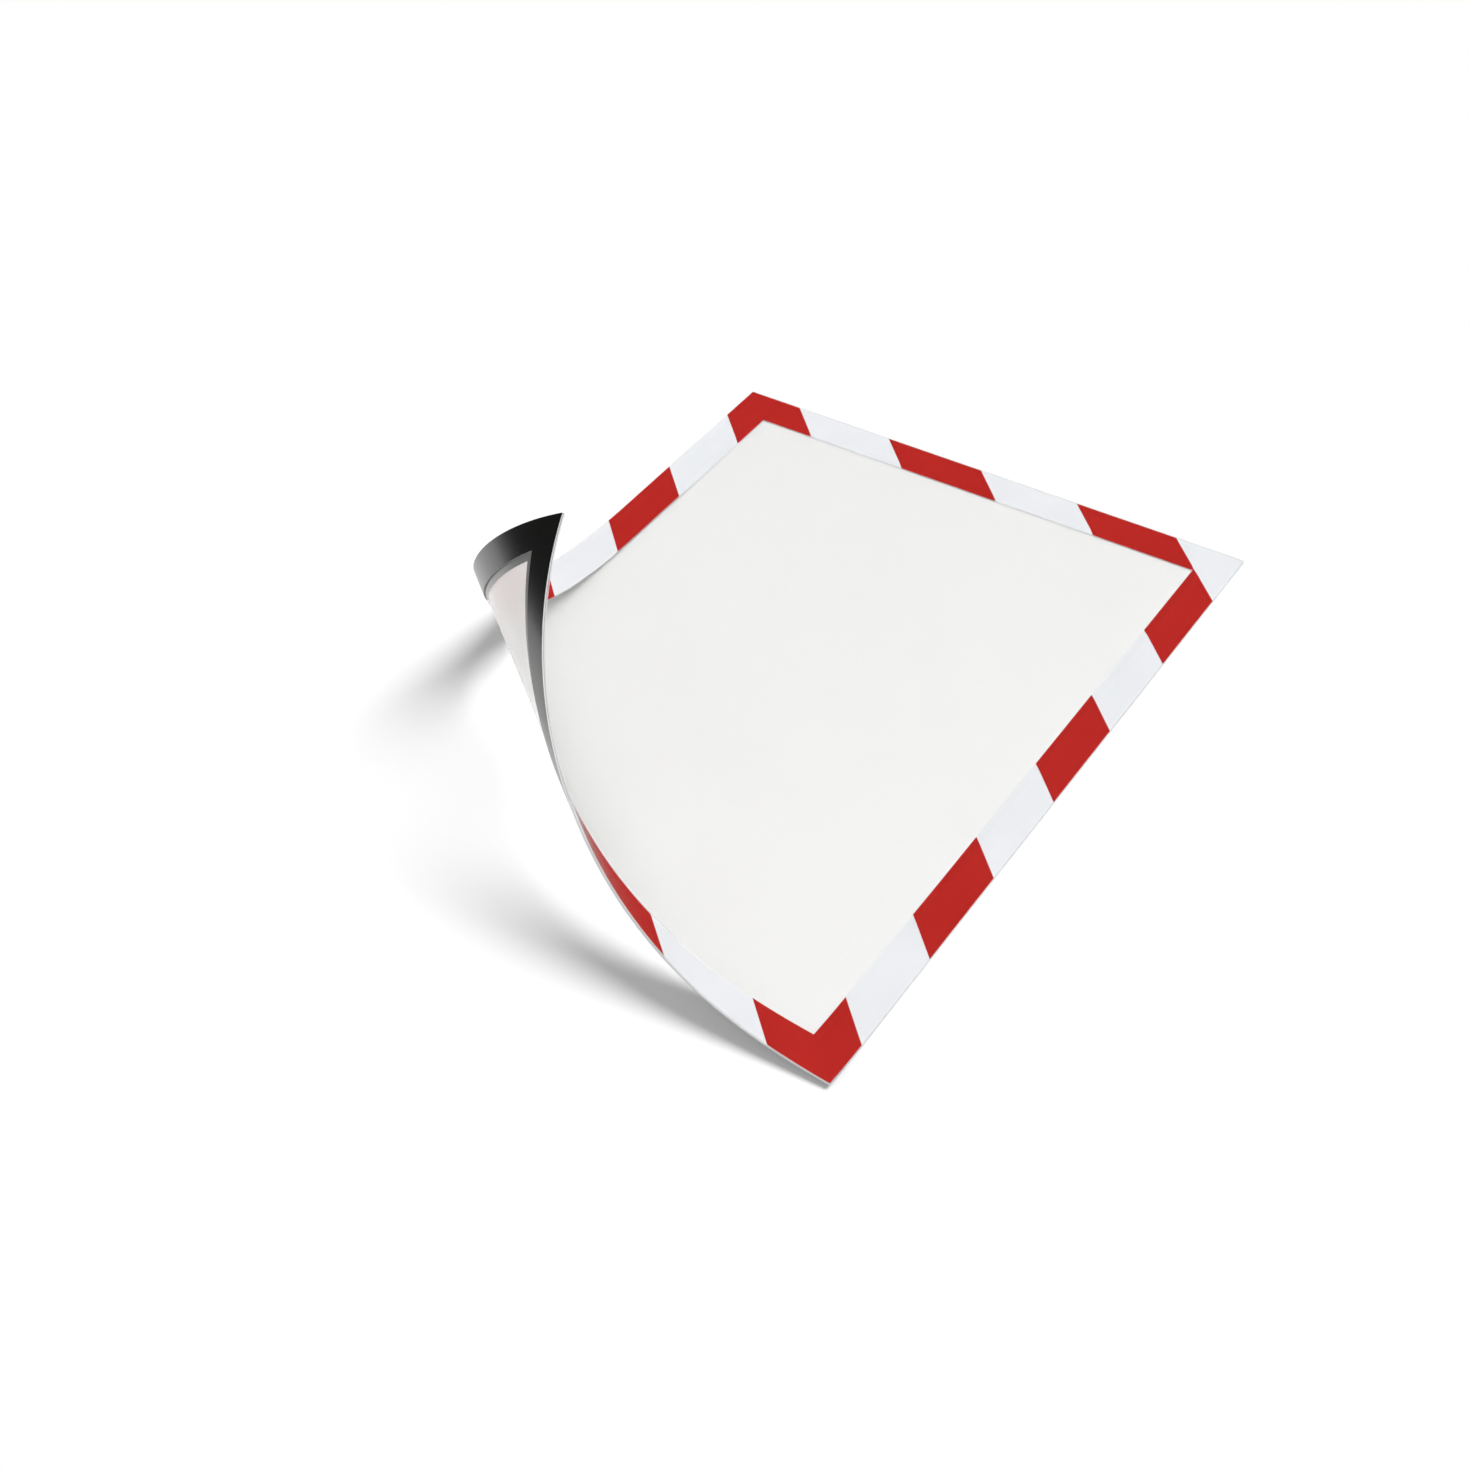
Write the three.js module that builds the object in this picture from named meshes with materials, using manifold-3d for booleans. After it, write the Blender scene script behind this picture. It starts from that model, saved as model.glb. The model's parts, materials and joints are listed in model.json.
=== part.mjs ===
// A flexible display frame for one sheet of A4 paper, held to steel by a magnetic band.
// It lies face up on a flat surface, and one corner is peeled up and curled over its face.
import * as THREE from "three";
import { mergeVertices } from "three/addons/utils/BufferGeometryUtils.js";
import Module from "manifold-3d";

const wasm = await Module();
wasm.setup();

// Driving sizes, in millimetres and degrees. +X runs along the width, +Y along the height.
const PAPER_WIDTH = 210;
const PAPER_HEIGHT = 297;
const PAPER_PLAY = 0.5; // free space round the paper, on each side, inside the magnetic band
const MAGNET_BAND_WIDTH = 12.3;
const MAGNET_INSET = 0.2; // from the outer edge of the frame to the magnetic band
const WINDOW_LAP = 2.5; // how far the printed border covers the paper on each side
const CORNER_RADIUS = 0.5;

const MAGNET_THICKNESS = 0.5;
const BORDER_THICKNESS = 0.15;
const RED_THICKNESS = 0.1;
const WINDOW_FILM_THICKNESS = 0.2;
const ADHESIVE_GAP = 0.05; // the glue between two layers, left open

const STRIPE_CORNER_LEG = 30; // white corner triangle left beside the first and last red stripe
const STRIPE_COUNT = 11; // red and white stripes in turn between the two white corners

const CURL_HEADING = 51.2; // from +X to the direction that the corner is peeled in
const PEEL_LENGTH = 181.5; // of the curl's curve, from its take-off line to the peeled corner
const LEAD_IN_LENGTH = 63.5; // over which the bend tightens to its radius
const CURL_RADIUS = 59.3; // of the frame's back
const FLEX_STRIPS = 8; // stiff strips that stand in for the bending corner
const FLEX_GAP = 0.3; // between two neighbouring strips, at the back of the frame
const SMALLEST_PATCH_WIDTH = 2.5; // a layer's sliver smaller than a square this wide is left off

// Sizes that follow from them.
const EDGE_TO_PAPER = MAGNET_INSET + MAGNET_BAND_WIDTH + PAPER_PLAY;
const FRAME_WIDTH = PAPER_WIDTH + 2 * EDGE_TO_PAPER;
const FRAME_HEIGHT = PAPER_HEIGHT + 2 * EDGE_TO_PAPER;
const BORDER_WIDTH = EDGE_TO_PAPER + WINDOW_LAP;
const EDGE_TO_RECESS = MAGNET_INSET + MAGNET_BAND_WIDTH;

const BORDER_BACK = MAGNET_THICKNESS + ADHESIVE_GAP;
const RED_BACK = BORDER_BACK + BORDER_THICKNESS + ADHESIVE_GAP;
const WINDOW_BACK = RED_BACK + RED_THICKNESS + ADHESIVE_GAP;
const FRAME_THICKNESS = WINDOW_BACK + WINDOW_FILM_THICKNESS;
const CUT_MARGIN = 1; // how far a cutting solid stands past the layers, above and below
const CORNER_SEGMENTS = 4; // of a rounded corner's quarter circle
const MERGE_DISTANCE = 1e-5; // vertices closer than this are one
const FAR = FRAME_WIDTH + FRAME_HEIGHT; // further than any point of the frame

// Each layer has a colour and finish of its own.
const FINISHES = {
  windowFilm: new THREE.MeshStandardMaterial({
    color: 0xf2f2f0, roughness: 0.25, metalness: 0, transparent: true, opacity: 0.3,
  }),
  whiteBorder: new THREE.MeshStandardMaterial({ color: 0xebecf1, roughness: 0.45, metalness: 0 }),
  redStripe: new THREE.MeshStandardMaterial({ color: 0xb9262a, roughness: 0.4, metalness: 0 }),
  magnet: new THREE.MeshStandardMaterial({ color: 0x171614, roughness: 0.5, metalness: 0 }),
};

// A closed geometry as a solid that can be joined and cut.
function toSolid(geometry) {
  const bare = geometry.clone();
  bare.deleteAttribute("normal");
  bare.deleteAttribute("uv");
  const merged = mergeVertices(bare, MERGE_DISTANCE);
  return new wasm.Manifold(new wasm.Mesh({
    numProp: 3,
    vertProperties: new Float32Array(merged.attributes.position.array),
    triVerts: new Uint32Array(merged.index.array),
  }));
}

// The separate bodies of a solid, each as a geometry with its volume and centre.
function toBodies(solid) {
  const mesh = solid.getMesh();
  const root = Array.from({ length: mesh.vertProperties.length / 3 }, (_, index) => index);
  const find = (index) => {
    while (root[index] !== index) index = root[index];
    return index;
  };
  for (let corner = 0; corner < mesh.triVerts.length; corner += 3) {
    const [a, b, c] = mesh.triVerts.slice(corner, corner + 3);
    root[find(b)] = find(a);
    root[find(c)] = find(a);
  }
  const facesOf = new Map();
  for (let corner = 0; corner < mesh.triVerts.length; corner += 3) {
    const body = find(mesh.triVerts[corner]);
    if (!facesOf.has(body)) facesOf.set(body, []);
    facesOf.get(body).push(...mesh.triVerts.slice(corner, corner + 3));
  }
  return [...facesOf.values()].map((faces) => measureBody(mesh.vertProperties, faces));
}

// One body's own vertices and faces, with the volume and centre that they enclose.
function measureBody(coordinates, faces) {
  const positions = [];
  const newIndex = new Map();
  const index = faces.map((vertex) => {
    if (!newIndex.has(vertex)) {
      newIndex.set(vertex, newIndex.size);
      positions.push(...coordinates.slice(3 * vertex, 3 * vertex + 3));
    }
    return newIndex.get(vertex);
  });
  const point = (vertex) => new THREE.Vector3().fromArray(positions, 3 * vertex);
  const centre = new THREE.Vector3();
  let volume = 0;
  for (let corner = 0; corner < index.length; corner += 3) {
    const [a, b, c] = index.slice(corner, corner + 3).map(point);
    const share = a.dot(new THREE.Vector3().crossVectors(b, c)) / 6;
    volume += share;
    centre.addScaledVector(a.add(b).add(c), share / 4);
  }
  const geometry = new THREE.BufferGeometry();
  geometry.setAttribute("position", new THREE.Float32BufferAttribute(positions, 3));
  geometry.setIndex(index);
  geometry.computeVertexNormals();
  return { geometry, volume, centre: centre.divideScalar(volume) };
}

// A rectangle round the middle of the frame, drawn inset from its outer edge.
function rectangle(path, inset, radius) {
  const right = FRAME_WIDTH / 2 - inset;
  const top = FRAME_HEIGHT / 2 - inset;
  if (radius > 0) {
    path.moveTo(right - radius, -top);
    path.absarc(right - radius, radius - top, radius, -Math.PI / 2, 0, false);
    path.absarc(right - radius, top - radius, radius, 0, Math.PI / 2, false);
    path.absarc(radius - right, top - radius, radius, Math.PI / 2, Math.PI, false);
    path.absarc(radius - right, radius - top, radius, Math.PI, Math.PI * 1.5, false);
  } else {
    path.moveTo(right, -top);
    path.lineTo(right, top);
    path.lineTo(-right, top);
    path.lineTo(-right, -top);
  }
  path.closePath();
  return path;
}

// A flat layer of the frame: its outline, with an optional opening, at its height over the back.
function layer(outerInset, openingInset, back, thickness) {
  const outline = rectangle(new THREE.Shape(), outerInset, CORNER_RADIUS - outerInset);
  if (openingInset !== null) outline.holes.push(rectangle(new THREE.Path(), openingInset, 0));
  return extrude(outline, thickness).translate([0, 0, back]);
}

function extrude(shape, depth) {
  const settings = { depth, bevelEnabled: false, curveSegments: CORNER_SEGMENTS };
  return toSolid(new THREE.ExtrudeGeometry(shape, settings));
}

// The curl. Past the take-off line, where the frame leaves the surface, the bend tightens steadily
// over the lead-in, and from there on it keeps its radius up to the peeled corner.
const LEAD_IN_ANGLE = LEAD_IN_LENGTH / (2 * CURL_RADIUS);
const CURL_ANGLE = LEAD_IN_ANGLE + (PEEL_LENGTH - LEAD_IN_LENGTH) / CURL_RADIUS;
const HINGE_ANGLE = CURL_ANGLE / FLEX_STRIPS;
const CURVE_STEPS = 64; // for adding up the curve between two contact points

function distanceAtAngle(angle) {
  if (angle < LEAD_IN_ANGLE) return Math.sqrt(2 * LEAD_IN_LENGTH * CURL_RADIUS * angle);
  return LEAD_IN_LENGTH + (angle - LEAD_IN_ANGLE) * CURL_RADIUS;
}

function angleAtDistance(distance) {
  if (distance < LEAD_IN_LENGTH) return distance ** 2 / (2 * LEAD_IN_LENGTH * CURL_RADIUS);
  return LEAD_IN_ANGLE + (distance - LEAD_IN_LENGTH) / CURL_RADIUS;
}

// The curl as a chain of flat strips, each of which touches the curve where the curve has turned
// through a whole number of hinge angles. A strip runs in the curve's direction there, so two
// neighbours meet at a bending line. before and after are the ways from that line to the two
// contact points, along the earlier and the later strip.
function bendArms(line) {
  const [startAngle, endAngle] = [line * HINGE_ANGLE, (line + 1) * HINGE_ANGLE];
  const start = distanceAtAngle(startAngle);
  const step = (distanceAtAngle(endAngle) - start) / CURVE_STEPS;
  const arms = { before: 0, after: 0 };
  for (let part = 0.5; part < CURVE_STEPS; part += 1) {
    const angle = angleAtDistance(start + part * step);
    arms.before += (Math.sin(endAngle - angle) * step) / Math.sin(HINGE_ANGLE);
    arms.after += (Math.sin(angle - startAngle) * step) / Math.sin(HINGE_ANGLE);
  }
  return arms;
}

// Distance of each bending line from the peeled corner, measured on the frame when it lies flat.
// The strips go round the outside of the curve, so together they are slightly longer than it is.
const HINGE_DISTANCES = [];
for (let line = FLEX_STRIPS - 1, distance = 0; line >= 0; line -= 1) {
  const { before, after } = bendArms(line);
  HINGE_DISTANCES.unshift(distance + after);
  distance += after + before;
}

const HEADING = THREE.MathUtils.degToRad(CURL_HEADING);
const PEEL_DIRECTION = new THREE.Vector3(Math.cos(HEADING), Math.sin(HEADING), 0);
const HINGE_DIRECTION = new THREE.Vector3(-Math.sin(HEADING), Math.cos(HEADING), 0);
const PEELED_CORNER = new THREE.Vector3(-FRAME_WIDTH / 2, -FRAME_HEIGHT / 2, 0);

// The space of one strip between two bending lines. Its sides lean together towards the face,
// halfway between the strip and its neighbour, so that the curled strips don't meet.
function stripSpace(nearDistance, farDistance) {
  const lean = Math.tan(HINGE_ANGLE / 2);
  const below = -CUT_MARGIN;
  const above = FRAME_THICKNESS + CUT_MARGIN;
  const near = (height) => nearDistance + FLEX_GAP / 2 + lean * height;
  const far = (height) => farDistance - FLEX_GAP / 2 - lean * height;
  const section = new THREE.Shape([
    new THREE.Vector2(near(below), below),
    new THREE.Vector2(far(below), below),
    new THREE.Vector2(far(above), above),
    new THREE.Vector2(near(above), above),
  ]);
  const geometry = new THREE.ExtrudeGeometry(section, { depth: 2 * FAR, bevelEnabled: false });
  geometry.translate(0, 0, -FAR);
  geometry.applyMatrix4(new THREE.Matrix4().makeBasis(
    PEEL_DIRECTION,
    new THREE.Vector3(0, 0, 1),
    HINGE_DIRECTION.clone().negate(),
  ).setPosition(PEELED_CORNER));
  return toSolid(geometry);
}

// The space of one diagonal stripe. Stripes are counted from the top right corner, and a stripe's
// edge is where x + y has a constant value.
const STRIPE_PITCH = (FRAME_WIDTH + FRAME_HEIGHT - 2 * STRIPE_CORNER_LEG) / STRIPE_COUNT;

function stripeSpace(stripe) {
  const upper = (FRAME_WIDTH + FRAME_HEIGHT) / 2 - STRIPE_CORNER_LEG - stripe * STRIPE_PITCH;
  const lower = upper - STRIPE_PITCH;
  const shape = new THREE.Shape([
    new THREE.Vector2(lower / 2 - FAR, lower / 2 + FAR),
    new THREE.Vector2(lower / 2 + FAR, lower / 2 - FAR),
    new THREE.Vector2(upper / 2 + FAR, upper / 2 - FAR),
    new THREE.Vector2(upper / 2 - FAR, upper / 2 + FAR),
  ]);
  return extrude(shape, FRAME_THICKNESS);
}

// The layers, from the face to the back. A red stripe that crosses two sides is two red patches,
// and one that runs round a corner is a single patch.
const redRing = layer(0, BORDER_WIDTH, RED_BACK, RED_THICKNESS);
const layers = [
  {
    name: "window_film",
    finish: "windowFilm",
    thickness: WINDOW_FILM_THICKNESS,
    solid: layer(0, null, WINDOW_BACK, WINDOW_FILM_THICKNESS),
  },
  {
    name: "white_border",
    finish: "whiteBorder",
    thickness: BORDER_THICKNESS,
    solid: layer(0, BORDER_WIDTH, BORDER_BACK, BORDER_THICKNESS),
  },
  {
    name: "magnetic_band",
    finish: "magnet",
    thickness: MAGNET_THICKNESS,
    solid: layer(MAGNET_INSET, EDGE_TO_RECESS, 0, MAGNET_THICKNESS),
  },
];
for (let stripe = 0; stripe < STRIPE_COUNT; stripe += 2) {
  layers.push({
    name: `red_stripe_${stripe / 2 + 1}`,
    finish: "redStripe",
    thickness: RED_THICKNESS,
    solid: redRing.intersect(stripeSpace(stripe)),
  });
}

// A body that is one of two in its strip is named by the side of the frame that it lies on.
function sideName(centre) {
  const outward = {
    left: FRAME_WIDTH / 2 + centre.x,
    right: FRAME_WIDTH / 2 - centre.x,
    bottom: FRAME_HEIGHT / 2 + centre.y,
    top: FRAME_HEIGHT / 2 - centre.y,
  };
  return Object.keys(outward).reduce((best, side) => (outward[side] < outward[best] ? side : best));
}

// The meshes of every layer inside one strip's space.
function addLayers(group, space, suffix) {
  for (const { name, finish, thickness, solid } of layers) {
    const smallest = SMALLEST_PATCH_WIDTH ** 2 * thickness;
    const bodies = toBodies(solid.intersect(space)).filter(({ volume }) => volume > smallest);
    for (const { geometry, centre } of bodies) {
      const mesh = new THREE.Mesh(geometry, FINISHES[finish]);
      const side = bodies.length > 1 ? `_${sideName(centre)}` : "";
      mesh.name = name + side + suffix;
      group.add(mesh);
    }
  }
}

// A group that turns about a bending line, holding things that are placed on the flat frame.
function bendAt(parent, distance) {
  const pivot = PEELED_CORNER.clone().addScaledVector(PEEL_DIRECTION, distance);
  const bent = new THREE.Group();
  bent.position.copy(pivot);
  bent.quaternion.setFromAxisAngle(HINGE_DIRECTION, HINGE_ANGLE);
  const flat = new THREE.Group();
  flat.position.copy(pivot).negate();
  parent.add(bent);
  bent.add(flat);
  return flat;
}

const frame = new THREE.Group();
addLayers(frame, stripSpace(HINGE_DISTANCES[0], FAR), "");

let strip = frame;
HINGE_DISTANCES.forEach((distance, line) => {
  strip = bendAt(strip, distance);
  const next = HINGE_DISTANCES[line + 1] ?? -FAR;
  addLayers(strip, stripSpace(next, distance), `_strip_${line + 1}`);
});

export default frame;
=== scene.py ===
# %% [markdown]
# A magnetic display frame with one corner curled up.
# The real frame is a thin flexible laminate: a clear window film over the whole of it, a printed
# border with red and white stripes, and a black magnetic band behind the border. It lies face up,
# and its lower left corner is peeled off the surface and rolled over its own face.
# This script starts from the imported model. There the curl is a chain of stiff strips on eight
# hinges. Here each layer becomes a smooth skin on the same curve, cut where the strips touch it.

# %% Load the frame
import json
import math

import bmesh
import bpy
import numpy as np
from mathutils import Matrix, Vector

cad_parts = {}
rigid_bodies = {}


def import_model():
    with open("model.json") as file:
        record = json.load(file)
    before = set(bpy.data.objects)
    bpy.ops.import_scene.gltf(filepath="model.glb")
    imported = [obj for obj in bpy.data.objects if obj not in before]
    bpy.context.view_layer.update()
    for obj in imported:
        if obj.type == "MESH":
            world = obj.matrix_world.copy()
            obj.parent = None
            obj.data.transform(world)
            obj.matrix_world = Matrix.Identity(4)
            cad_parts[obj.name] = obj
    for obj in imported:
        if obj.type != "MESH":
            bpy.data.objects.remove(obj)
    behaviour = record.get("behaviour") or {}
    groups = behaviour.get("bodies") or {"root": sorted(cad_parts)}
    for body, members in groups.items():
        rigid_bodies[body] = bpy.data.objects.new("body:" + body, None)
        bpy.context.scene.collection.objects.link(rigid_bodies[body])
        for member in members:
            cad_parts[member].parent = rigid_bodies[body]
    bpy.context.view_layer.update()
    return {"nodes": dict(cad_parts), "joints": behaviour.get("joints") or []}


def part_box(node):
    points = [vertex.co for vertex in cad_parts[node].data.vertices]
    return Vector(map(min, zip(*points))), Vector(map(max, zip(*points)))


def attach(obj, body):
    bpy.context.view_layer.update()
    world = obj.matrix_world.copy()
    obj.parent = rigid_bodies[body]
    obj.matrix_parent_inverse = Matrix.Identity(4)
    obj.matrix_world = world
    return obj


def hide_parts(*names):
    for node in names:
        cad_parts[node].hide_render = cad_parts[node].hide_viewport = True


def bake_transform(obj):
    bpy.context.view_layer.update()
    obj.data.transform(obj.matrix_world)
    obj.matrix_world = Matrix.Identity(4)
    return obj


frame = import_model()

# %% [markdown]
# The sizes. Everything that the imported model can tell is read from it: the outline, the height of
# each layer over the surface, and the places and angles of the hinges. Only what a box can't tell
# is written here as a value. The widths of the border and of the band are measured from the
# outline. The stripes are counted from the white triangle in the top right corner, whose leg is a
# size of its own.

# %% Sizes of the flat frame, in metres
HALF_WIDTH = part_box("window_film")[1].x
HALF_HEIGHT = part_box("window_film")[1].y
MAGNET_INSET = HALF_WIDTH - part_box("magnetic_band")[1].x
BORDER_WIDTH = 0.0155
MAGNET_INNER_EDGE = 0.0125
CORNER_RADIUS = 0.0005
CORNER_SEGMENTS = 6
STRIPE_CORNER_LEG = 0.030
STRIPE_COUNT = 11
STRIPE_PITCH = (2 * HALF_WIDTH + 2 * HALF_HEIGHT - 2 * STRIPE_CORNER_LEG) / STRIPE_COUNT


def layer_heights(node):
    """The lowest and highest point of a lying layer over the surface."""
    low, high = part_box(node)
    return low.z, high.z


print("outline", 2 * HALF_WIDTH, 2 * HALF_HEIGHT, "stripe pitch", STRIPE_PITCH)

# %% The curl's hinges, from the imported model
JOINTS = frame["joints"]
HINGES = [Vector(joint["pos_m"]) for joint in JOINTS]
HINGE_ANGLE = math.radians(JOINTS[0]["range_deg"][1])
AXIS = Vector(JOINTS[0]["axis"]).normalized()
HEADING = Vector((-AXIS.y, AXIS.x, 0))
UP = Vector((0, 0, 1))
PEELED_CORNER = Vector((-HALF_WIDTH, -HALF_HEIGHT, 0))
STRIPS = len(HINGES)
BODIES = [JOINTS[0]["parent"]] + [joint["child"] for joint in JOINTS]
print("strips", STRIPS, "of", round(math.degrees(HINGE_ANGLE), 2), "degrees, heading", HEADING)

# %% [markdown]
# The curve. The sheet leaves the surface at a take-off line, its bend tightens steadily over the
# lead-in, and from there on it keeps one radius up to the peeled corner. Blender has a bend
# modifier, but it gives one radius only, so the curve is added up here in small steps, and the
# vertices are moved onto it.

# %% The curve of the curl
LEAD_IN_LENGTH = 0.0635
CURL_RADIUS = 0.0593
LEAD_IN_ANGLE = LEAD_IN_LENGTH / (2 * CURL_RADIUS)
CURL_LENGTH = LEAD_IN_LENGTH + (STRIPS * HINGE_ANGLE - LEAD_IN_ANGLE) * CURL_RADIUS
CURVE_STEPS = 4000


def angle_at(arc):
    """How far the curve has turned at a distance along it from the take-off line."""
    lead_in = arc**2 / (2 * LEAD_IN_LENGTH * CURL_RADIUS)
    return np.where(arc < LEAD_IN_LENGTH, lead_in, LEAD_IN_ANGLE + (arc - LEAD_IN_LENGTH) / CURL_RADIUS)


def arc_at(angle):
    """The distance along the curve at which it has turned so far."""
    if angle < LEAD_IN_ANGLE:
        return math.sqrt(2 * LEAD_IN_LENGTH * CURL_RADIUS * angle)
    return LEAD_IN_LENGTH + (angle - LEAD_IN_ANGLE) * CURL_RADIUS


ARCS = np.linspace(0, CURL_LENGTH, CURVE_STEPS + 1)
middle_angles = angle_at((ARCS[1:] + ARCS[:-1]) / 2)
CURVE_BACK = np.concatenate([[0], np.cumsum(np.cos(middle_angles) * np.diff(ARCS))])
CURVE_RISE = np.concatenate([[0], np.cumsum(np.sin(middle_angles) * np.diff(ARCS))])
print("curl length", round(CURL_LENGTH, 4), "tip height", round(CURVE_RISE[-1], 4))

# %% [markdown]
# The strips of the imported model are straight, and each one touches the curve at one line. These
# contact lines are where the skins are cut, because there strip and skin are in the same place.
# The straight strips are a little longer than the curve between them, and the skin is stretched
# by as much, so that both show the same point of the flat frame at each contact line.

# %% Contact lines, as arcs from the take-off line and as distances from the peeled corner
CONTACT_ARCS = [arc_at(line * HINGE_ANGLE) for line in range(STRIPS + 1)]


def arms(line):
    """The ways from one bending line to the contact lines before and after it, along the strips."""
    start, end = CONTACT_ARCS[line], CONTACT_ARCS[line + 1]
    inside = (ARCS[1:] > start) & (ARCS[:-1] < end)
    low = np.maximum(ARCS[:-1], start)[inside]
    high = np.minimum(ARCS[1:], end)[inside]
    turned = angle_at((low + high) / 2)
    before = (np.sin((line + 1) * HINGE_ANGLE - turned) * (high - low)).sum() / math.sin(HINGE_ANGLE)
    after = (np.sin(turned - line * HINGE_ANGLE) * (high - low)).sum() / math.sin(HINGE_ANGLE)
    return before, after


ARMS = [arms(line) for line in range(STRIPS)]
CONTACTS = [0.0]
for before, after in reversed(ARMS):
    CONTACTS.insert(0, CONTACTS[0] + before + after)
TAKE_OFF = CONTACTS[0]
print("take-off line", round(TAKE_OFF, 5), "m from the peeled corner")
print("hinge 1 is off this curve by", (HINGES[0] - PEELED_CORNER).dot(HEADING) - (TAKE_OFF - ARMS[0][0]))


# %% Move flat vertices onto the curl
def curl_up(piece):
    """Each vertex keeps its place along the bending lines and its height over the sheet's back."""
    count = len(piece.data.vertices)
    flat = np.empty(count * 3)
    piece.data.vertices.foreach_get("co", flat)
    flat = flat.reshape(count, 3)
    over = flat - np.array(PEELED_CORNER)
    distance = over @ np.array(HEADING)
    along = over @ np.array(AXIS)
    arc = np.interp(distance, CONTACTS[::-1], CONTACT_ARCS[::-1])
    turned = angle_at(arc)
    back = np.interp(arc, ARCS, CURVE_BACK) - np.sin(turned) * over[:, 2]
    rise = np.interp(arc, ARCS, CURVE_RISE) + np.cos(turned) * over[:, 2]
    distance = np.maximum(distance, TAKE_OFF) - back
    curled = (
        np.array(PEELED_CORNER) + np.outer(distance, HEADING)
        + np.outer(along, AXIS) + np.outer(rise, UP)
    )
    piece.data.vertices.foreach_set("co", curled.ravel())
    piece.data.update()


# %% [markdown]
# The flat layers. Each starts as a plane of the frame's size with its corners rounded. The border
# and the magnetic band get their opening with four straight cuts, and the middle face is deleted.
# The film gets the same cuts and keeps its middle, because its finish changes there. The film and
# the border are also cut along the band's inner edge, because they bend there. A filled curve would
# give the same outline, but no edges along which a layer can bend. A cut is made with Bisect, which
# can also throw away what lies on one side of it.

# %% Helpers for one object at a time
CUT_TOLERANCE = 1e-6


def pick(piece):
    """Select one object alone, so that an operator acts on nothing else."""
    bpy.ops.object.select_all(action="DESELECT")
    piece.select_set(True)
    bpy.context.view_layer.objects.active = piece


def copy_of(piece, name):
    """A copy of a piece with its own mesh."""
    pick(piece)
    bpy.ops.object.duplicate()
    copy = bpy.context.object
    copy.name = name
    copy.data.name = name
    return copy


def cut(point, normal, keep=0):
    """In edit mode: cut along a line. keep is 1 for the normal's side, -1 for the other, 0 for both."""
    bpy.ops.mesh.select_all(action="SELECT")
    bpy.ops.mesh.bisect(
        plane_co=point, plane_no=normal, threshold=CUT_TOLERANCE,
        clear_inner=keep > 0, clear_outer=keep < 0,
    )


# %% A flat layer
def flat_sheet(name, inset):
    """A rectangle with round corners, drawn in from the frame's outline."""
    bpy.ops.object.select_all(action="DESELECT")
    bpy.ops.mesh.primitive_plane_add(size=2)
    sheet = bpy.context.object
    sheet.name = name
    sheet.data.name = name
    bpy.ops.object.mode_set(mode="EDIT")
    bpy.ops.transform.resize(value=(HALF_WIDTH - inset, HALF_HEIGHT - inset, 1))
    bpy.ops.mesh.bevel(offset=CORNER_RADIUS - inset, segments=CORNER_SEGMENTS, affect="VERTICES")
    bpy.ops.object.mode_set(mode="OBJECT")
    return sheet


def draw_opening(sheet, inset):
    """Cut the sheet along the four sides of an opening."""
    pick(sheet)
    bpy.ops.object.mode_set(mode="EDIT")
    for side in (-1, 1):
        cut((side * (HALF_WIDTH - inset), 0, 0), (1, 0, 0))
        cut((0, side * (HALF_HEIGHT - inset), 0), (0, 1, 0))
    bpy.ops.object.mode_set(mode="OBJECT")
    return sheet


def open_middle(sheet, inset):
    """Draw an opening and delete the face in its middle."""
    draw_opening(sheet, inset)
    bpy.ops.object.mode_set(mode="EDIT")
    bpy.ops.mesh.select_mode(type="FACE")
    bpy.ops.mesh.select_all(action="DESELECT")
    mesh = bmesh.from_edit_mesh(sheet.data)
    middle = min(mesh.faces, key=lambda face: face.calc_center_median().length)
    middle.select_set(True)
    bpy.ops.mesh.delete(type="FACE")
    bpy.ops.object.mode_set(mode="OBJECT")
    return sheet


film_sheet = draw_opening(flat_sheet("flat_film", 0), MAGNET_INNER_EDGE)
draw_opening(film_sheet, BORDER_WIDTH)
border_sheet = draw_opening(flat_sheet("flat_border", 0), MAGNET_INNER_EDGE)
open_middle(border_sheet, BORDER_WIDTH)
magnet_sheet = open_middle(flat_sheet("flat_magnet", MAGNET_INSET), MAGNET_INNER_EDGE)
for sheet in (film_sheet, border_sheet, magnet_sheet):
    print(sheet.name, len(sheet.data.polygons), "faces")

# %% [markdown]
# The red print is made from a copy of the border for each stripe, cut along the stripe's two
# diagonal edges. Counted from the top right corner, every other stripe is red. The stripes could be
# a pattern in the border's material too. As pieces they stay sharp, and they stand for the packed
# model's red solids.

# %% The red stripes
DIAGONAL = Vector((1, 1, 0)).normalized()


def stripe_edge(number):
    """A point of the diagonal at which a stripe begins."""
    reach = HALF_WIDTH + HALF_HEIGHT - STRIPE_CORNER_LEG - number * STRIPE_PITCH
    return Vector((reach / 2, reach / 2, 0))


stripes = []
for number in range(0, STRIPE_COUNT, 2):
    stripe = copy_of(border_sheet, f"flat_stripe_{number}")
    bpy.ops.object.mode_set(mode="EDIT")
    cut(stripe_edge(number), DIAGONAL, keep=-1)
    cut(stripe_edge(number + 1), DIAGONAL, keep=1)
    bpy.ops.object.mode_set(mode="OBJECT")
    stripes.append(stripe)
bpy.ops.object.select_all(action="DESELECT")
for stripe in stripes:
    stripe.select_set(True)
bpy.context.view_layer.objects.active = stripes[0]
bpy.ops.object.join()
red_sheet = stripes[0]
print("red print", len(red_sheet.data.polygons), "faces")

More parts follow.
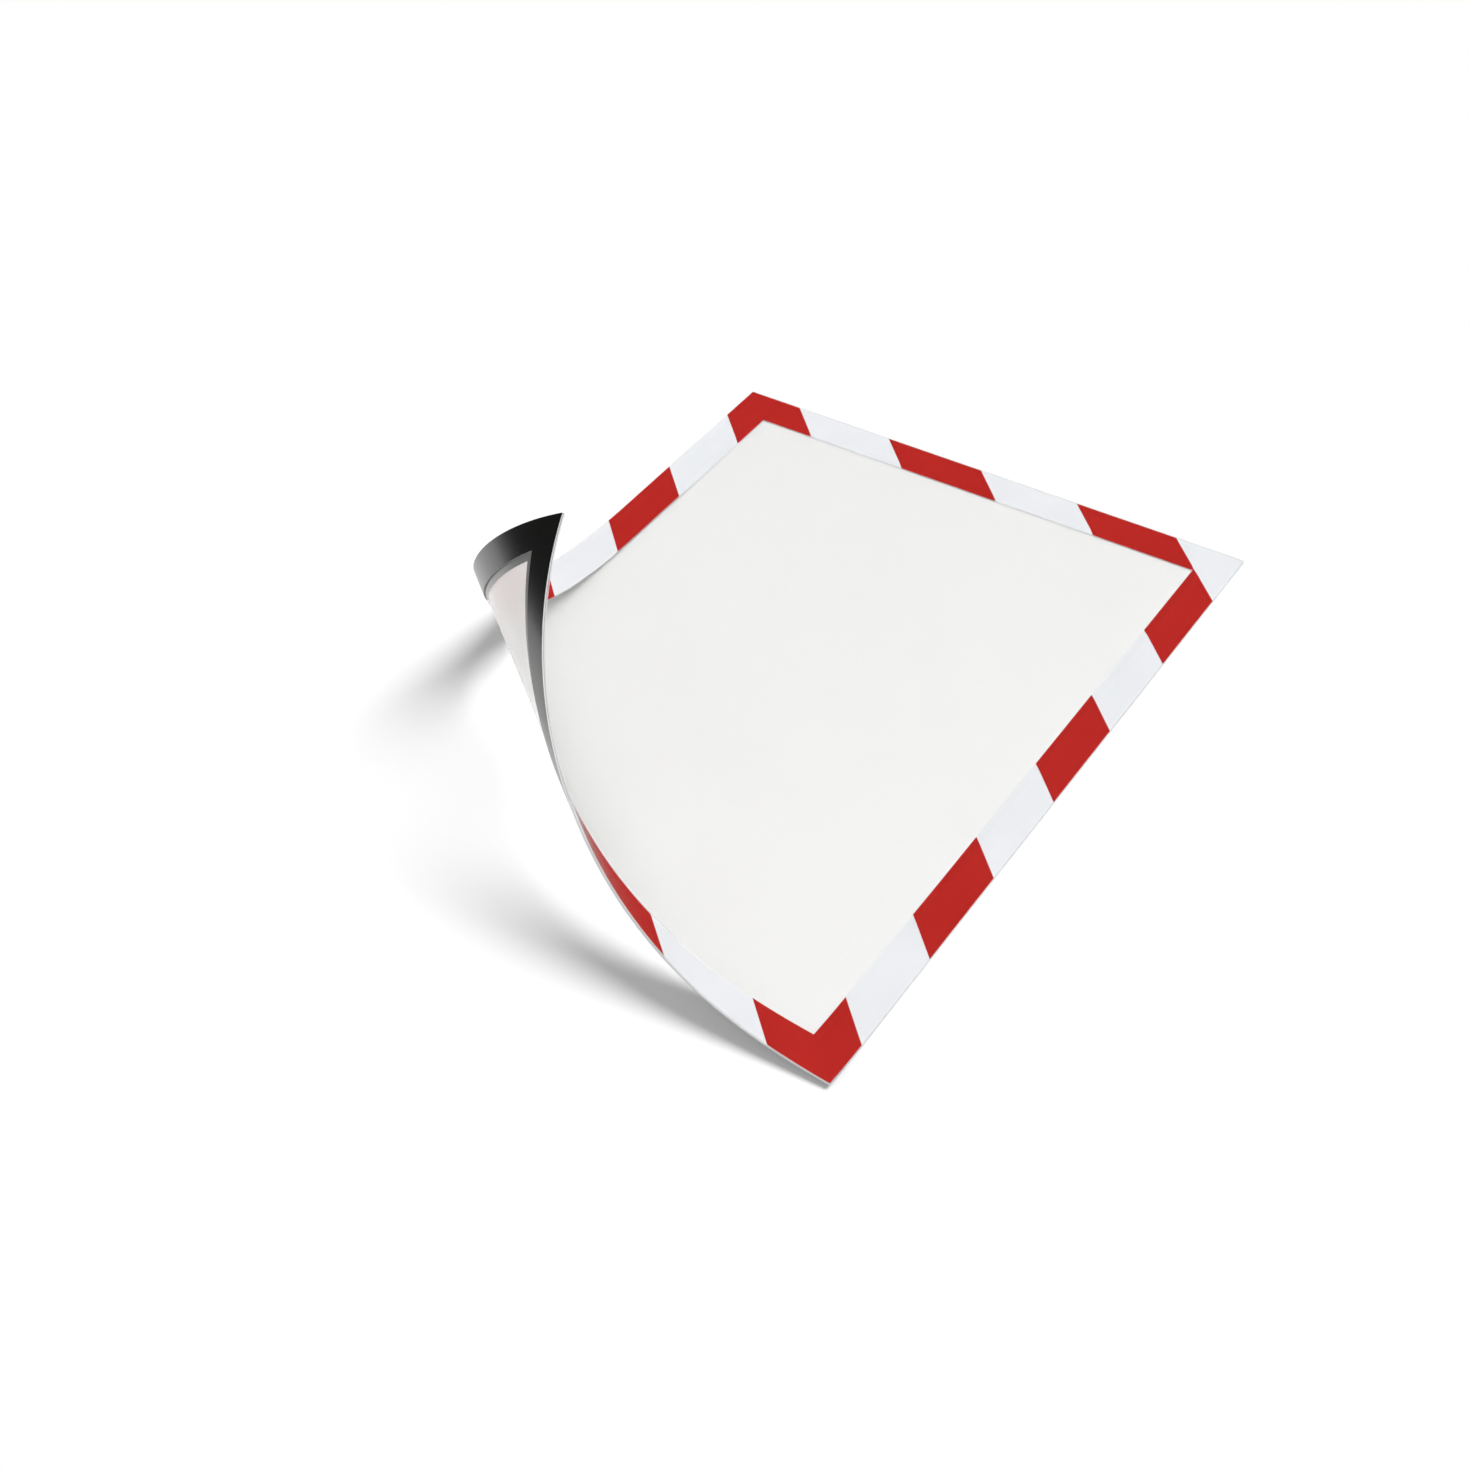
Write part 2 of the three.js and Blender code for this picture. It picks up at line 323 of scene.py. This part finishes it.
# %% [markdown]
# Materials. The print has no shine of its own, because the clear film covers it, and its grey back
# has a broad sheen. The black magnetic sheet shines softly. Its outer edge and the film's edge are
# painted pale as a painted highlight, a bright rim in place of the shade on these walls. Its inner
# cut edge is matt grey, painted much paler than cut rubber, as painted light against the shade on
# that wall. All of them are nearly plain, so a fine grain and a faint cloud are enough to keep them
# from looking flat. They share these as a node group, which gives a slightly uneven normal and
# roughness, as calendered plastic film has.


# %% Helpers for node trees
def new_material(name):
    """A material with the parts that are needed to build it."""
    material = bpy.data.materials.new(name)
    material.use_nodes = True
    nodes = material.node_tree.nodes
    return material, nodes, material.node_tree.links, nodes["Principled BSDF"]


def math_node(nodes, operation, value=None):
    """A math node. Its second number is set here where it is a plain value."""
    node = nodes.new("ShaderNodeMath")
    node.operation = operation
    if value is not None:
        node.inputs[1].default_value = value
    return node


# %% The grain that the finishes share
GRAIN_PER_METRE = 900.0
GRAIN_DETAIL = 3
CLOUDS_PER_METRE = 35
CLOUD_DETAIL = 2
NOISE_MIDDLE = 0.5
SOCKETS = {
    "INPUT": {
        "Vector": "Vector", "Grain per metre": "Float", "Height": "Float", "Roughness": "Float",
        "Spread": "Float",
    },
    "OUTPUT": {"Normal": "Vector", "Roughness": "Float", "Cloud": "Float"},
}


def film_grain():
    """The node group: a fine noise as bumps, and a coarse one for the roughness and as a cloud."""
    tree = bpy.data.node_groups.new("film_grain", "ShaderNodeTree")
    for direction, sockets in SOCKETS.items():
        for name, kind in sockets.items():
            tree.interface.new_socket(name=name, in_out=direction, socket_type="NodeSocket" + kind)
    nodes, links = tree.nodes, tree.links
    inputs = nodes.new("NodeGroupInput")
    outputs = nodes.new("NodeGroupOutput")
    grain = nodes.new("ShaderNodeTexNoise")
    grain.inputs["Detail"].default_value = GRAIN_DETAIL
    links.new(inputs.outputs["Vector"], grain.inputs["Vector"])
    links.new(inputs.outputs["Grain per metre"], grain.inputs["Scale"])
    bump = nodes.new("ShaderNodeBump")
    links.new(inputs.outputs["Height"], bump.inputs["Distance"])
    links.new(grain.outputs["Fac"], bump.inputs["Height"])
    links.new(bump.outputs["Normal"], outputs.inputs["Normal"])
    cloud = nodes.new("ShaderNodeTexNoise")
    cloud.inputs["Scale"].default_value = CLOUDS_PER_METRE
    cloud.inputs["Detail"].default_value = CLOUD_DETAIL
    links.new(inputs.outputs["Vector"], cloud.inputs["Vector"])
    links.new(cloud.outputs["Fac"], outputs.inputs["Cloud"])
    offset = math_node(nodes, "SUBTRACT", NOISE_MIDDLE)
    links.new(cloud.outputs["Fac"], offset.inputs[0])
    rough = math_node(nodes, "MULTIPLY_ADD")
    links.new(offset.outputs[0], rough.inputs[0])
    links.new(inputs.outputs["Spread"], rough.inputs[1])
    links.new(inputs.outputs["Roughness"], rough.inputs[2])
    links.new(rough.outputs[0], outputs.inputs["Roughness"])
    return tree


GRAIN = film_grain()
print("grain group with", len(GRAIN.nodes), "nodes")


# %% The grain and the faint cloud of colour on a material
def add_grain(nodes, links, shader, height, roughness, spread):
    """The shared grain on a material's normal and roughness. Returns the group's node."""
    place = nodes.new("ShaderNodeTexCoord")
    grain = nodes.new("ShaderNodeGroup")
    grain.node_tree = GRAIN
    grain.inputs["Grain per metre"].default_value = GRAIN_PER_METRE
    grain.inputs["Height"].default_value = height
    grain.inputs["Roughness"].default_value = roughness
    grain.inputs["Spread"].default_value = spread
    links.new(place.outputs["Object"], grain.inputs["Vector"])
    links.new(grain.outputs["Normal"], shader.inputs["Normal"])
    links.new(grain.outputs["Roughness"], shader.inputs["Roughness"])
    return grain


def tint(nodes, links, factor, low, high):
    """A colour that drifts between two shades with a factor."""
    mix = nodes.new("ShaderNodeMix")
    mix.data_type = "RGBA"
    mix.inputs["A"].default_value = (*low, 1)
    mix.inputs["B"].default_value = (*high, 1)
    links.new(factor, mix.inputs["Factor"])
    return mix.outputs["Result"]


# %% The black magnetic sheet
FINE_GRAIN_HEIGHT = 0.000003
FINE_GRAIN_SPREAD = 0.06
RUBBER_INDEX = 1.65
RUBBER_ROUGHNESS = 0.23
RUBBER_LOW = (0.003, 0.0026, 0.0022)
RUBBER_HIGH = (0.005, 0.0045, 0.004)


def magnetic_rubber():
    """Smooth black rubber, deep black where it reflects nothing bright."""
    material, nodes, links, shader = new_material("magnetic_rubber")
    shader.inputs["IOR"].default_value = RUBBER_INDEX
    grain = add_grain(nodes, links, shader, FINE_GRAIN_HEIGHT, RUBBER_ROUGHNESS, FINE_GRAIN_SPREAD)
    colour = tint(nodes, links, grain.outputs["Cloud"], RUBBER_LOW, RUBBER_HIGH)
    links.new(colour, shader.inputs["Base Color"])
    return material


# %% The print: red and white on the face, grey on the back
PRINT_GRAIN_HEIGHT = 0.000004
PRINT_GRAIN_SPREAD = 0.1


def ink(name, low, high, shine, roughness=0.5):
    """A plain colour between two shades, with a shine from 0 to 1."""
    material, nodes, links, shader = new_material(name)
    shader.inputs["Specular IOR Level"].default_value = shine
    grain = add_grain(nodes, links, shader, PRINT_GRAIN_HEIGHT, roughness, PRINT_GRAIN_SPREAD)
    colour = tint(nodes, links, grain.outputs["Cloud"], low, high)
    links.new(colour, shader.inputs["Base Color"])
    return material


# %% [markdown]
# The window film is clear but matt. What touches it from behind shows sharply, and what is further
# away is spread out, so the curled part shows only a soft tint of what lies under it. That is a
# rough transmission. Over the border the glue fills the matt surface, and the film is much clearer
# there, with only a faint veil where it is seen at a flat angle. The light of the lamp and the room
# passes straight through both, which the Alpha does for rays that carry light, because a film this
# thin throws almost no shadow.

# %% The clear film
FILM_LIGHT_PASSED = 0.92
FILM_DRIFT = 0.01
FILM_YELLOW = 0.009


def light_rays(nodes, links):
    """1 for rays that carry light to a surface, and 0 for what the eye sees."""
    path = nodes.new("ShaderNodeLightPath")
    either = math_node(nodes, "MAXIMUM")
    links.new(path.outputs["Is Shadow Ray"], either.inputs[0])
    links.new(path.outputs["Is Diffuse Ray"], either.inputs[1])
    return either.outputs[0]


def clear_film(name, index, roughness, passed):
    """Clear film that passes a share of the light behind it, a little less of the blue."""
    material, nodes, links, shader = new_material(name)
    shader.inputs["Transmission Weight"].default_value = 1
    shader.inputs["IOR"].default_value = index
    grain = add_grain(nodes, links, shader, FINE_GRAIN_HEIGHT, roughness, FINE_GRAIN_SPREAD)
    low = (passed - FILM_DRIFT, passed - FILM_DRIFT, passed - FILM_DRIFT - FILM_YELLOW)
    high = (passed + FILM_DRIFT, passed + FILM_DRIFT, passed + FILM_DRIFT - FILM_YELLOW)
    colour = tint(nodes, links, grain.outputs["Cloud"], low, high)
    links.new(colour, shader.inputs["Base Color"])
    cover = math_node(nodes, "MULTIPLY_ADD", -FILM_LIGHT_PASSED)
    cover.inputs[2].default_value = 1
    links.new(light_rays(nodes, links), cover.inputs[0])
    links.new(cover.outputs[0], shader.inputs["Alpha"])
    return material


def film_joint():
    """The cut ends of the film's pieces. The real film runs on there, so nothing is seen of them."""
    material, nodes, links, shader = new_material("film_joint")
    shader.inputs["Alpha"].default_value = 0
    return material


# %% The materials
MAGNET = magnetic_rubber()
WHITE = ink("white_print", low=(0.85, 0.867, 0.907), high=(0.88, 0.897, 0.937), shine=0)
GREY_BACK = ink(
    "grey_print_back", low=(0.2, 0.196, 0.192), high=(0.24, 0.236, 0.232), shine=0.8, roughness=0.25,
)
RED = ink("red_print", low=(0.473, 0.0225, 0.018), high=(0.51, 0.0265, 0.022), shine=0)
# The pale edge is a painted highlight: a bright rim painted on the outer walls of the band and the film.
PAINTED_RIM_HIGHLIGHT = ink("painted_rim_highlight", low=(0.8, 0.8, 0.79), high=(0.84, 0.84, 0.83), shine=0.3)
# The cut inner edge is matt grey, painted paler than cut rubber as painted light against the shade on
# that wall.
CUT_RUBBER_AND_PAINTED_LIGHT = ink("cut_rubber_and_painted_light", low=(0.36, 0.357, 0.353), high=(0.42, 0.417, 0.413), shine=0.2)
MATT_FILM = clear_film("matt_film", index=1.2, roughness=0.55, passed=0.902)
GLUED_FILM = clear_film("glued_film", index=1.035, roughness=0.13, passed=0.935)
FILM_JOINT = film_joint()
ALL_LOOKS = (
    MAGNET, WHITE, GREY_BACK, RED, PAINTED_RIM_HIGHLIGHT, CUT_RUBBER_AND_PAINTED_LIGHT, MATT_FILM, GLUED_FILM, FILM_JOINT,
)
print("materials", [material.name for material in ALL_LOOKS])

# %% [markdown]
# The band is 0.5 mm thick, and the border reaches 3 mm past it. Where the frame lies, this lap and
# the window hang down to the surface, so no dark slot is seen under the lap. Towards the curl they
# rise over a short length to the level at which the stiff bent sheet keeps them.

# %% How the lap and the window settle
SETTLE_DEPTH = 0.0005
SETTLE_LENGTH = 0.04
SETTLE_STEPS = 8


def smooth_step(share):
    """Rises smoothly from 0 to 1 while the share does."""
    return share**2 * (3 - 2 * share)


def clamp(share):
    """The share, held between 0 and 1."""
    return min(max(share, 0), 1)


def from_outline(point):
    """How far a point of the flat frame is from the outline."""
    return min(HALF_WIDTH - abs(point.x), HALF_HEIGHT - abs(point.y))


def settle(piece):
    """Lower the lap and the window of a flat lying piece."""
    for vertex in piece.data.vertices:
        past_band = (from_outline(vertex.co) - MAGNET_INNER_EDGE) / (BORDER_WIDTH - MAGNET_INNER_EDGE)
        past_curl = ((vertex.co - PEELED_CORNER).dot(HEADING) - TAKE_OFF) / SETTLE_LENGTH
        vertex.co.z -= SETTLE_DEPTH * clamp(past_band) * smooth_step(clamp(past_curl))


# %% [markdown]
# The pieces. A layer is cut at the contact lines into one lying piece and one piece for each
# hinge. A curled piece is cut again along close lines, and the lying piece where it settles,
# because a face can only bend at its edges. Solidify gives a piece the layer's thickness, and only
# then is it moved onto the curve, so that its walls stay square to the sheet. One skin over the
# whole curl would be simpler, but a piece can only be blended between two bodies.

# %% Where a layer is cut
STEP = 0.0012


def distance_point(distance):
    """A point at a distance from the peeled corner."""
    return PEELED_CORNER + HEADING * distance


def bending_cuts(near, far):
    """The distances of the cuts within a piece. The lying piece has no far end."""
    if far is None:
        return [near + SETTLE_LENGTH * step / SETTLE_STEPS for step in range(1, SETTLE_STEPS + 1)]
    steps = round((far - near) / STEP)
    return [near + (far - near) * step / steps for step in range(1, steps)]


# %% One piece of a layer
SMOOTH_ANGLE = math.radians(30)
LEAST_AREA = STEP**2


def give_thickness(piece, low, high):
    """The sheet becomes a closed plate from the height low to the height high."""
    piece.data.transform(Matrix.Translation((0, 0, low)))
    solidify = piece.modifiers.new("thickness", "SOLIDIFY")
    solidify.thickness = high - low
    solidify.offset = 1
    bpy.ops.object.modifier_apply(modifier=solidify.name)


def is_cut_end(face, distance):
    """Whether a wall of the flat plate is where the layer was cut at a distance from the corner."""
    if distance is None:
        return False
    return abs((face.center - PEELED_CORNER).dot(HEADING) - distance) < CUT_TOLERANCE


def layer_piece(sheet, name, near, far, heights):
    """What a layer has between two distances from the peeled corner, or None if that is nothing."""
    piece = copy_of(sheet, name)
    bpy.ops.object.mode_set(mode="EDIT")
    cut(distance_point(near), HEADING, keep=1)
    if far is not None:
        cut(distance_point(far), HEADING, keep=-1)
    for distance in bending_cuts(near, far):
        cut(distance_point(distance), HEADING)
    bpy.ops.object.mode_set(mode="OBJECT")
    if sum(face.area for face in piece.data.polygons) < LEAST_AREA:
        bpy.data.objects.remove(piece)
        return None
    give_thickness(piece, *heights)
    return piece


def paint_faces(piece, materials, paint, near, far):
    """Each face of the flat plate gets the material that paint chooses for it."""
    for material in materials:
        piece.data.materials.append(material)
    for face in piece.data.polygons:
        face.material_index = materials.index(paint(face, near, far))


def bend(piece, far):
    """The flat plate takes its shape on the surface or on the curl."""
    if far is None:
        settle(piece)
    else:
        curl_up(piece)
        bpy.ops.object.shade_smooth_by_angle(angle=SMOOTH_ANGLE)


# %% [markdown]
# Poses. A curled piece crosses one hinge. The lying piece is put on the lying sheet's body, and
# the curled pieces are left where the curl puts them. The imported model's nodes of each layer are
# hidden where a piece stands in for them.


# %% A layer's pieces, the lying one on its body
def nodes_of(prefix, strip):
    """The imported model's nodes of one layer on one strip, or on the lying sheet for strip 0."""
    ending = f"_strip_{strip}"
    found = [name for name in frame["nodes"] if name.startswith(prefix)]
    if strip:
        return [name for name in found if name.endswith(ending)]
    return [name for name in found if "_strip_" not in name]


def build_layer(sheet, title, prefix, materials, paint):
    """All pieces of one layer, the lying one on its body. paint says which material a face of the plate
    has.
    """
    pieces = []
    heights = layer_heights(nodes_of(prefix, 0)[0])
    for strip in range(STRIPS + 1):
        near = CONTACTS[strip]
        far = CONTACTS[strip - 1] if strip else None
        name = f"{title}_curl_{strip}" if strip else f"{title}_lying"
        piece = layer_piece(sheet, name, near, far, heights)
        if piece is None:
            continue
        paint_faces(piece, materials, paint, near, far)
        bend(piece, far)
        if strip:
            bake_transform(piece)
        else:
            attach(piece, BODIES[0])
        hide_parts(*nodes_of(prefix, strip))
        pieces.append(piece)
    bpy.data.objects.remove(sheet)
    print(title, len(pieces), "pieces,", sum(len(p.data.polygons) for p in pieces), "faces")


# %% [markdown]
# Which face of a plate has which material is told from its normal and its place while the plate is
# still flat. The walls at which a layer was cut into pieces are no edges of the real sheet, so they
# look like the inside of the layer.

# %% The faces of each layer
LEVEL_ENOUGH = 0.5


def is_wall(face):
    """Whether a face of a flat plate stands upright."""
    return abs(face.normal.z) < LEVEL_ENOUGH


def magnet_look(face, near, far):
    """The magnetic sheet is black. Its outer edge is painted pale as a painted highlight, its inner edge
    cut, matt and painted paler against its shade.
    """
    if not is_wall(face) or is_cut_end(face, near) or is_cut_end(face, far):
        return MAGNET
    if from_outline(face.center) < MAGNET_INSET + CORNER_RADIUS:
        return PAINTED_RIM_HIGHLIGHT
    return CUT_RUBBER_AND_PAINTED_LIGHT


def border_look(face, near, far):
    """The border is white on its face and grey on its back."""
    return GREY_BACK if face.normal.z < -LEVEL_ENOUGH else WHITE


def red_look(face, near, far):
    """Ink has no thickness that the eye sees, so the walls of a red patch are white as the border.
    At a cut end the red runs on."""
    if is_wall(face) and not is_cut_end(face, near) and not is_cut_end(face, far):
        return WHITE
    return RED


def film_look(face, near, far):
    """The film is matt in the window and clearer over the border. Its cut ends aren't seen."""
    if is_cut_end(face, near) or is_cut_end(face, far):
        return FILM_JOINT
    # The film's outer walls carry the painted rim highlight.
    if is_wall(face):
        return PAINTED_RIM_HIGHLIGHT
    return GLUED_FILM if from_outline(face.center) < BORDER_WIDTH else MATT_FILM


# %% Build the four layers
MAGNET_LOOKS = [MAGNET, PAINTED_RIM_HIGHLIGHT, CUT_RUBBER_AND_PAINTED_LIGHT]
BORDER_LOOKS = [WHITE, GREY_BACK]
RED_LOOKS = [RED, WHITE]
FILM_LOOKS = [MATT_FILM, GLUED_FILM, FILM_JOINT, PAINTED_RIM_HIGHLIGHT]
build_layer(magnet_sheet, "magnet", "magnetic_band", MAGNET_LOOKS, magnet_look)
build_layer(border_sheet, "border", "white_border", BORDER_LOOKS, border_look)
build_layer(red_sheet, "red_print", "red_stripe", RED_LOOKS, red_look)
build_layer(film_sheet, "film", "window_film", FILM_LOOKS, film_look)

# %% [markdown]
# The camera stands where the photograph was taken from. Its place and direction come from fitting
# a camera to the frame's corners and stripe edges. Blender lays the sensor's width along the longer
# side of the picture, which is its height by one pixel.

# %% Camera
PHOTO_HEIGHT = 1471
FOCAL_PIXELS = 2424.5
SENSOR_WIDTH = 36
CAMERA_PLACE = Vector((0.37942, -0.59437, 0.60813))
CAMERA_RIGHT = Vector((0.83863, 0.54422, -0.02263)).normalized()
CAMERA_FORWARD = Vector((-0.41766, 0.61582, -0.66807)).normalized()

camera_data = bpy.data.cameras.new("camera")
camera_data.sensor_width = SENSOR_WIDTH
camera_data.lens = camera_data.sensor_width * FOCAL_PIXELS / PHOTO_HEIGHT
camera = bpy.data.objects.new("camera", camera_data)
bpy.context.scene.collection.objects.link(camera)
camera_up = CAMERA_RIGHT.cross(CAMERA_FORWARD)
turn = Matrix((CAMERA_RIGHT, camera_up, -CAMERA_FORWARD)).transposed()
camera.matrix_world = Matrix.Translation(CAMERA_PLACE) @ turn.to_4x4()
bpy.context.scene.camera = camera
print("lens", round(camera_data.lens, 2), "mm")

# %% [markdown]
# The floor is plain and pale, and what the camera sees of it is white. It gets a part of its
# brightness as a glow that only the camera, reflections and the view through the film see, and
# the rest from the lamp and the room, so that the object's shadow stays on it. It lies a hair
# under the sheet, so that their faces aren't in one plane. It is small, because the black band
# mirrors what is past its edge.

# %% Floor
FLOOR_SIZE = 0.64
FLOOR_DROP = 0.00005
FLOOR_GLOW = 0.15
FLOOR_PALE = 0.825


def seen_by_eye(nodes, links):
    """1 for what the camera sees, straight, in a reflection or through the film, and else 0."""
    path = nodes.new("ShaderNodeLightPath")
    first = math_node(nodes, "MAXIMUM")
    links.new(path.outputs["Is Camera Ray"], first.inputs[0])
    links.new(path.outputs["Is Glossy Ray"], first.inputs[1])
    second = math_node(nodes, "MAXIMUM")
    links.new(first.outputs[0], second.inputs[0])
    links.new(path.outputs["Is Transmission Ray"], second.inputs[1])
    return second.outputs[0]


def pale_floor():
    """A diffuse floor with an added glow for the eye alone."""
    material = bpy.data.materials.new("pale_floor")
    material.use_nodes = True
    nodes, links = material.node_tree.nodes, material.node_tree.links
    nodes.clear()
    output = nodes.new("ShaderNodeOutputMaterial")
    lit = nodes.new("ShaderNodeBsdfDiffuse")
    lit.inputs["Color"].default_value = (FLOOR_PALE, FLOOR_PALE, FLOOR_PALE, 1)
    glow = nodes.new("ShaderNodeEmission")
    strength = math_node(nodes, "MULTIPLY", FLOOR_GLOW)
    links.new(seen_by_eye(nodes, links), strength.inputs[0])
    links.new(strength.outputs[0], glow.inputs["Strength"])
    both = nodes.new("ShaderNodeAddShader")
    links.new(lit.outputs[0], both.inputs[0])
    links.new(glow.outputs[0], both.inputs[1])
    links.new(both.outputs[0], output.inputs["Surface"])
    return material


bpy.ops.object.select_all(action="DESELECT")
bpy.ops.mesh.primitive_plane_add(size=FLOOR_SIZE, location=(0, 0, -FLOOR_DROP))
floor = bpy.context.object
floor.name = "floor"
floor.data.materials.append(pale_floor())
print("floor", FLOOR_SIZE, "m")

# %% [markdown]
# The light is a plain studio: a soft room that is brighter on the side of the curl, and one soft
# lamp high up at the right behind the frame, which throws the short soft shadow to the left and
# towards the viewer. The room is white where the camera sees it, and low down also where it is seen
# through the film. Reflections see the white only below the horizon, past the edge of the floor.
# Above that they see the dim far end of the studio, which makes the curled black sheet deep black
# at its tip and pale where it turns away, and leaves hardly a veil on the red print. The lamp is a
# sun with a wide angle, because only its direction has to be found, and its softness.

# %% Levels of the room
ROOM_LEVEL = 0.237
BRIGHT_SIDE = -HEADING
DIM_LEVEL = 0.06
REFLECTED_WHITE = (-0.45, -0.1)
THROUGH_FILM_WHITE = (0.1, 0.3)


def low_white(nodes, links, height, fade):
    """White below the first height of the fade, and dim above the second."""
    level = nodes.new("ShaderNodeMapRange")
    level.interpolation_type = "SMOOTHSTEP"
    level.inputs["From Min"].default_value = fade[0]
    level.inputs["From Max"].default_value = fade[1]
    level.inputs["To Min"].default_value = 1
    level.inputs["To Max"].default_value = DIM_LEVEL
    links.new(height, level.inputs["Value"])
    return level.outputs["Result"]


def slanted_light(nodes, links, direction):
    """The room's light on surfaces: strongest from the curl's side, fading to none opposite."""
    side = nodes.new("ShaderNodeVectorMath")
    side.operation = "DOT_PRODUCT"
    side.inputs[1].default_value = BRIGHT_SIDE
    links.new(direction, side.inputs[0])
    raised = math_node(nodes, "ADD", 1)
    links.new(side.outputs["Value"], raised.inputs[0])
    squared = math_node(nodes, "MULTIPLY")
    links.new(raised.outputs[0], squared.inputs[0])
    links.new(raised.outputs[0], squared.inputs[1])
    level = math_node(nodes, "MULTIPLY", ROOM_LEVEL)
    links.new(squared.outputs[0], level.inputs[0])
    return level.outputs[0]


def switch(nodes, links, chosen, without, within=None):
    """The level without where chosen is 0, and where it is 1 the level within, or plain white."""
    mix = nodes.new("ShaderNodeMix")
    mix.inputs["B"].default_value = 1
    links.new(chosen, mix.inputs["Factor"])
    links.new(without, mix.inputs["A"])
    if within is not None:
        links.new(within, mix.inputs["B"])
    return mix.outputs["Result"]


# %% The room as seen by each kind of ray
def room():
    """The world, with its own level for light, reflections, the view through film and the eye."""
    world = bpy.data.worlds.new("room")
    world.use_nodes = True
    nodes, links = world.node_tree.nodes, world.node_tree.links
    direction = nodes.new("ShaderNodeTexCoord")
    split = nodes.new("ShaderNodeSeparateXYZ")
    links.new(direction.outputs["Generated"], split.inputs["Vector"])
    height = split.outputs["Z"]
    path = nodes.new("ShaderNodeLightPath")
    reflected = low_white(nodes, links, height, REFLECTED_WHITE)
    through = low_white(nodes, links, height, THROUGH_FILM_WHITE)
    light = slanted_light(nodes, links, direction.outputs["Generated"])
    level = switch(nodes, links, path.outputs["Is Glossy Ray"], light, reflected)
    level = switch(nodes, links, path.outputs["Is Transmission Ray"], level, through)
    level = switch(nodes, links, path.outputs["Is Camera Ray"], level)
    background = nodes["Background"]
    background.inputs["Color"].default_value = (1, 1, 1, 1)
    links.new(level, background.inputs["Strength"])
    return world


bpy.context.scene.world = room()
print("room", bpy.context.scene.world.name)

# %% Lamp
LAMP_DIRECTION = Vector((0.34, 0.33, 1.0)).normalized()
LAMP_LEVEL = 0.775
LAMP_SPREAD = math.radians(31)

lamp_data = bpy.data.lights.new("lamp", "SUN")
lamp_data.energy = math.pi * LAMP_LEVEL / LAMP_DIRECTION.z
lamp_data.angle = LAMP_SPREAD
lamp = bpy.data.objects.new("lamp", lamp_data)
bpy.context.scene.collection.objects.link(lamp)
lamp.rotation_euler = LAMP_DIRECTION.to_track_quat("Z", "Y").to_euler()
bpy.context.scene.view_settings.view_transform = "Standard"
print("lamp", round(lamp_data.energy, 3))
